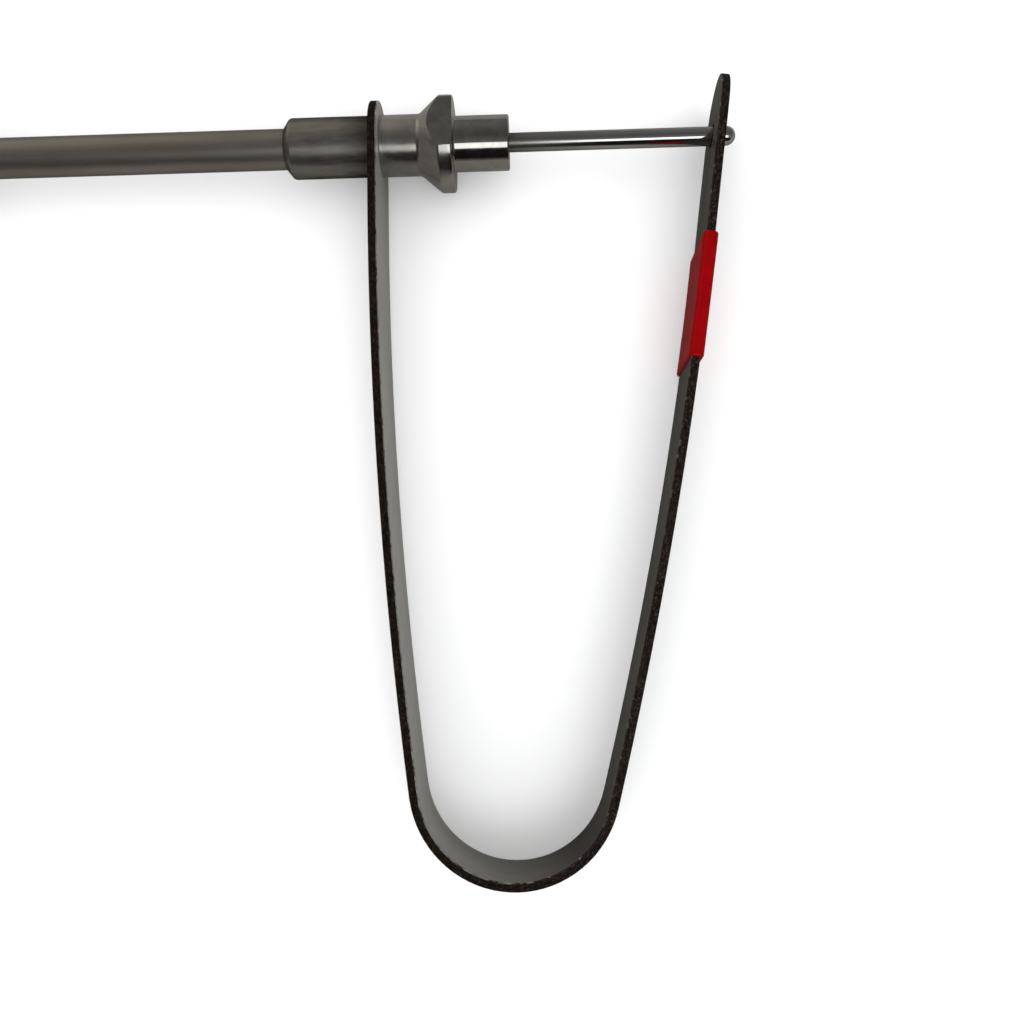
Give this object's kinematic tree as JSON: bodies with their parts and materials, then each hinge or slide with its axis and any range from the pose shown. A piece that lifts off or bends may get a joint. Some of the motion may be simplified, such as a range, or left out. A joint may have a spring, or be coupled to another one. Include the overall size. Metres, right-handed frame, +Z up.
{
  "type": "hot wire cutter",
  "caption": "Bow-type hot wire cutter: heated rod across a U-shaped spring strip, held by a turned collar on a tube shaft, with a two-shell handle, push button and low-voltage inlet.",
  "frame": {"origin": "middle of the underside of the box of the tool lying flat on a bench", "axes": "+X along the shaft towards the rod's tip, +Y from the bow's bend to the shaft, +Z up from the bench, square to the bow's plane"},
  "size_m": [0.2955, 0.1686, 0.0198],
  "materials": {
    "spring_steel": "dark brown oiled spring steel, satin, with bright edges",
    "red_vinyl": "soft red vinyl, glossy",
    "polished_steel": "turned and polished steel",
    "turned_steel": "turned steel, streaky satin",
    "bright_steel": "mirror-bright stainless steel",
    "ceramic": "cream fired ceramic, matte",
    "satin_steel": "satin stainless tube",
    "glass_sleeving": "woven glass sleeving",
    "lead_jacket": "black silicone jacket, satin",
    "handle_plastic": "fine-textured black plastic",
    "plated_steel": "bright zinc plate",
    "brass_block": "machined brass",
    "black_steel": "black oxide",
    "button_plastic": "red plastic, satin gloss",
    "switch_plastic": "black plastic, matte",
    "terminal_brass": "tinned brass"
  },
  "bodies": {
    "tool_body": {"bow_near_half": "spring_steel", "clamp_collar": "polished_steel", "ferrule": "turned_steel", "heater_sheath": "bright_steel", "heater_core": "ceramic", "rod_bush": "ceramic", "shaft_tube": "satin_steel", "shaft_liner": "glass_sleeving", "live_lead": "lead_jacket", "return_lead": "lead_jacket", "switch_lead": "lead_jacket", "handle_upper_shell": "handle_plastic", "handle_lower_shell": "handle_plastic", "shell_screws": "plated_steel", "clamp_block": "brass_block", "grub_screw": "black_steel", "button_spring": "plated_steel", "switch_body": "switch_plastic", "switch_terminals": "terminal_brass", "inlet_body": "switch_plastic", "inlet_contact": "bright_steel", "inlet_nut": "plated_steel"},
    "far_arm": {"bow_far_arm": "spring_steel", "grip_sleeve": "red_vinyl"},
    "button": {"push_button": "button_plastic"}
  },
  "joints": [
    {"name": "bow_flex", "type": "hinge", "parent": "tool_body", "child": "far_arm", "pos_m": [0.11812, -0.06885, 0.0099], "axis": [0, 0, -1], "range_deg": [0, 6], "stiffness_Nm_per_rad": 15},
    {"name": "button_press", "type": "slide", "parent": "tool_body", "child": "button", "axis": [0, -1, 0], "range_m": [0, 0.0015], "stiffness_N_per_m": 400, "springref_m": -0.001, "deforming": ["button_spring"]}
  ]
}
